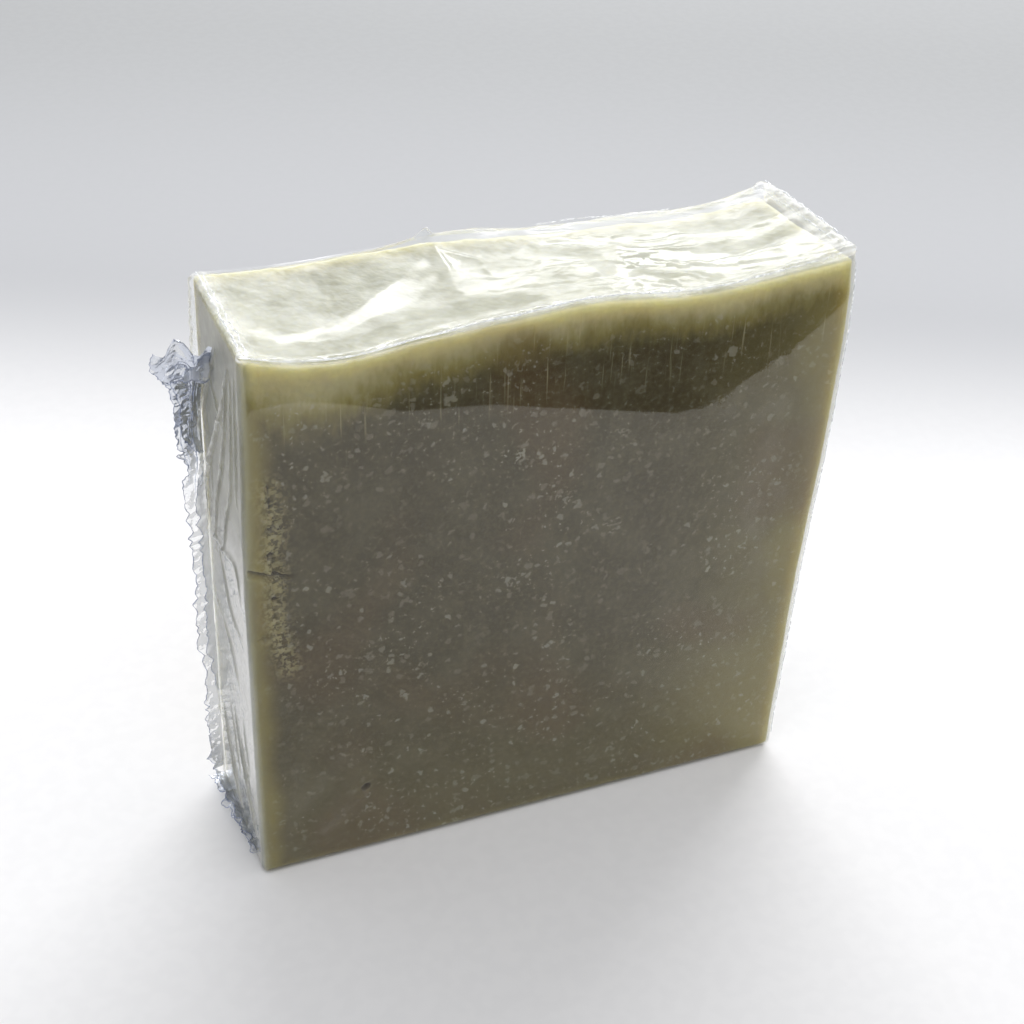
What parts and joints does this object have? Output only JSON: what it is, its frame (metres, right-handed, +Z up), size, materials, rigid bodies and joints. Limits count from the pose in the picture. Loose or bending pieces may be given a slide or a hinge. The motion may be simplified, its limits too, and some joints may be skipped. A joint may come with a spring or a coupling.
{
  "type": "bar of soap",
  "caption": "hand-cut slab of handmade soap with a wavy poured top, sealed in tight clear film with ruffled seals at one end",
  "frame": {"origin": "on the pack's flat underside, below the middle of the soap slab", "axes": "+Z up; -Y out of the large cut front face; -X out of the narrow end that carries the film's ruffled seals"},
  "size_m": [0.0829, 0.0212, 0.0805],
  "materials": {
    "soap": "olive green handmade soap, waxy, with pale specks",
    "film": "clear glossy shrink film, faintly blue where it gathers"
  },
  "bodies": {
    "root": {"soap_bar": "soap", "film_wrap": "film"}
  },
  "joints": []
}
